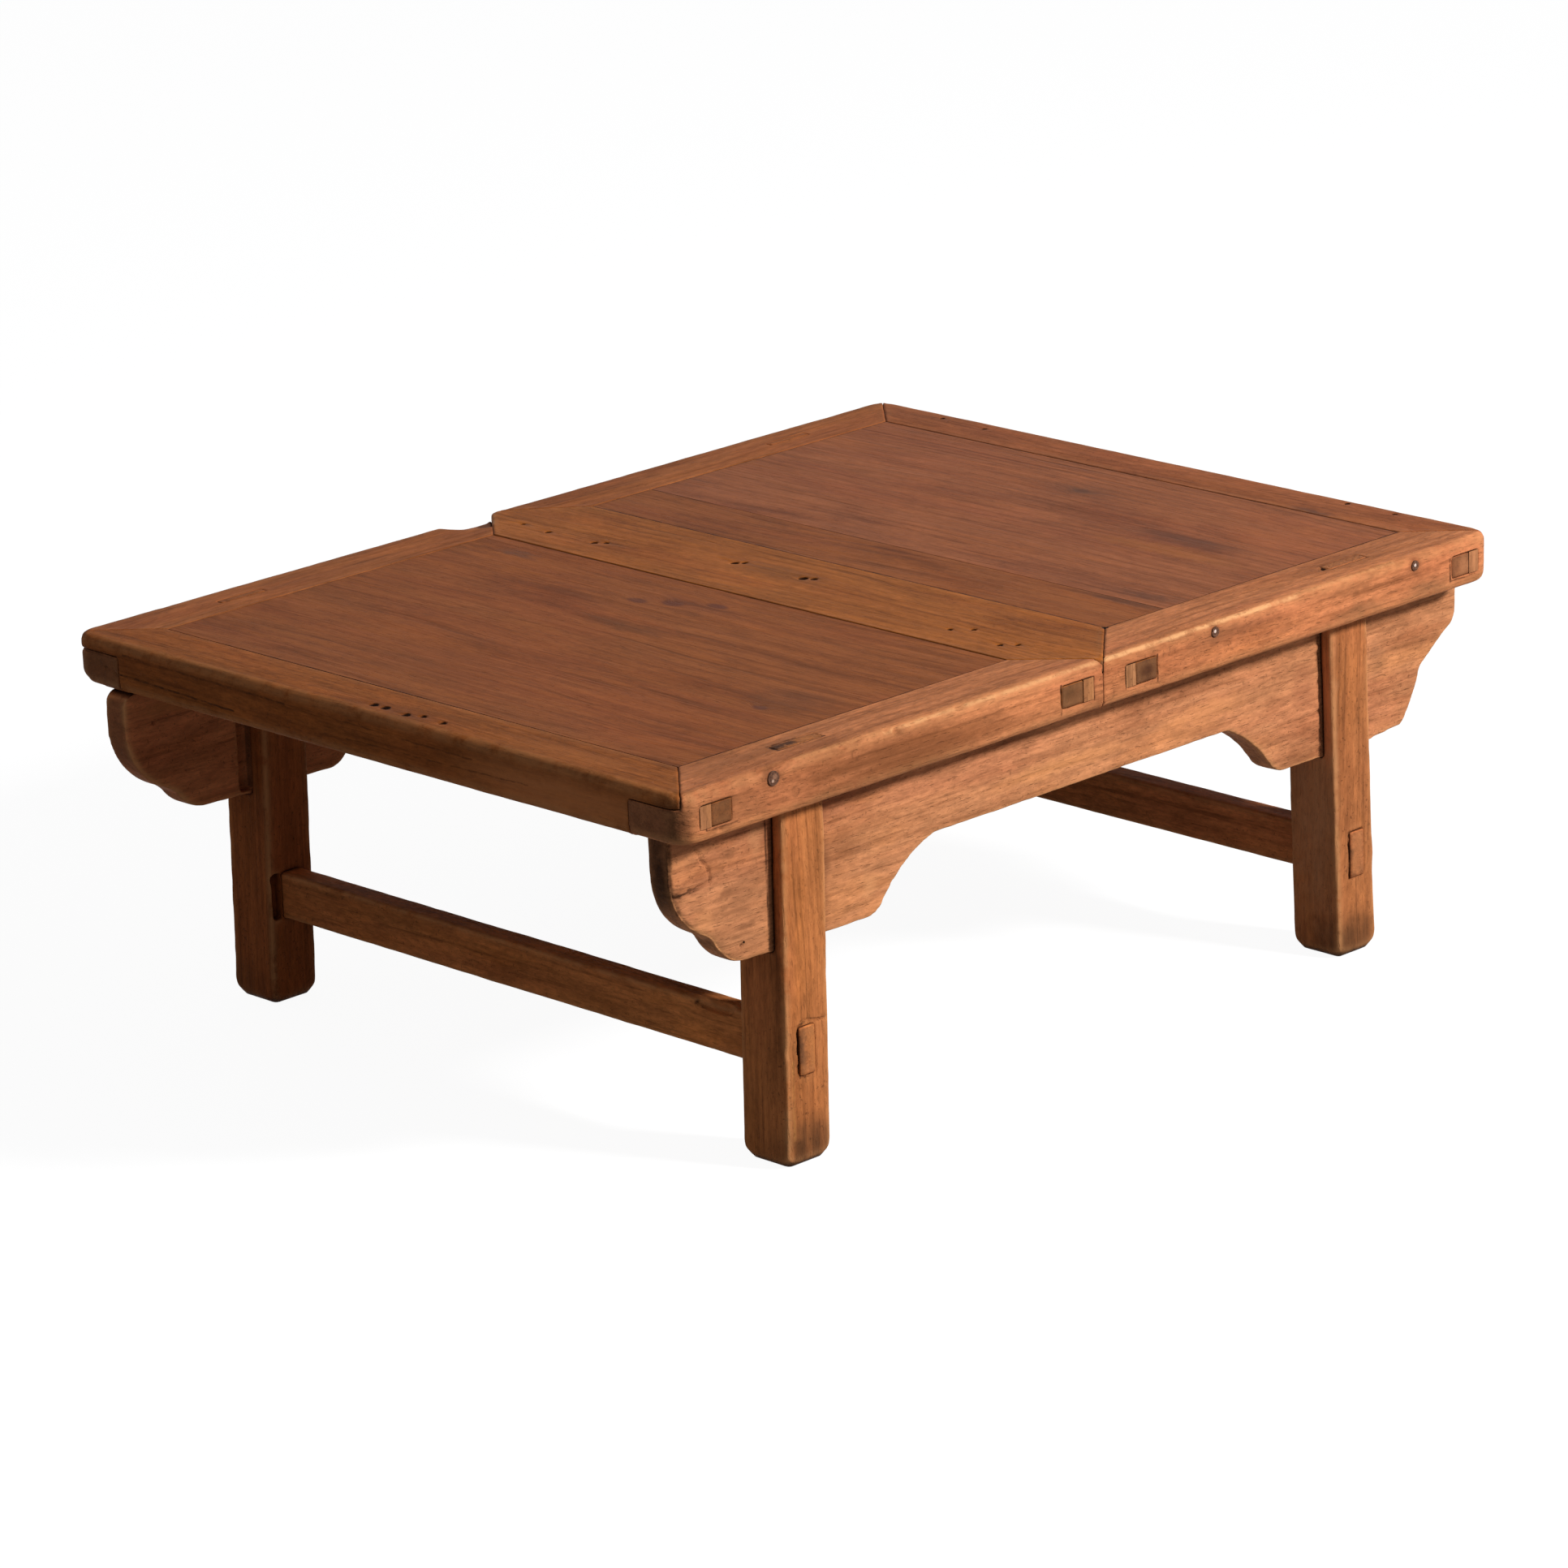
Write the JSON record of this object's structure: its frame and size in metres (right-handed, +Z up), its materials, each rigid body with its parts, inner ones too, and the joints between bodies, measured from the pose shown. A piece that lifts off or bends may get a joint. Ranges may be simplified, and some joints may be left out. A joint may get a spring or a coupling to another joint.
{
  "type": "kang table",
  "caption": "Low rectangular kang table in aged wood: framed top with flush panels and a centre board, cloud-shaped aprons, slotted legs and end stretchers.",
  "frame": {"origin": "on the floor, under the middle of the top", "axes": "+X along the table's length, +Y to its back, +Z up"},
  "size_m": [0.9, 0.6826, 0.326],
  "materials": {
    "frame_wood": "old, worn, dry-waxed",
    "panel_wood": "old, worn, darker board",
    "apron_wood": "old, matt",
    "leg_wood": "old, matt",
    "stretcher_wood": "old, matt, dark",
    "wedge_wood": "old end grain, pale",
    "iron": "rusted, rubbed bright"
  },
  "bodies": {
    "root": {"front_rail_left": "frame_wood", "front_rail_right": "frame_wood", "back_rail_left": "frame_wood", "back_rail_right": "frame_wood", "end_rail_left": "frame_wood", "end_rail_right": "frame_wood", "centre_board": "frame_wood", "left_panel": "panel_wood", "right_panel_narrow_board": "panel_wood", "right_panel_wide_board": "panel_wood", "front_apron": "apron_wood", "back_apron": "apron_wood", "front_left_leg": "leg_wood", "front_right_leg": "leg_wood", "back_left_leg": "leg_wood", "back_right_leg": "leg_wood", "left_stretcher": "stretcher_wood", "right_stretcher": "stretcher_wood", "tenon_wedges": "wedge_wood", "nails": "iron"}
  },
  "joints": []
}
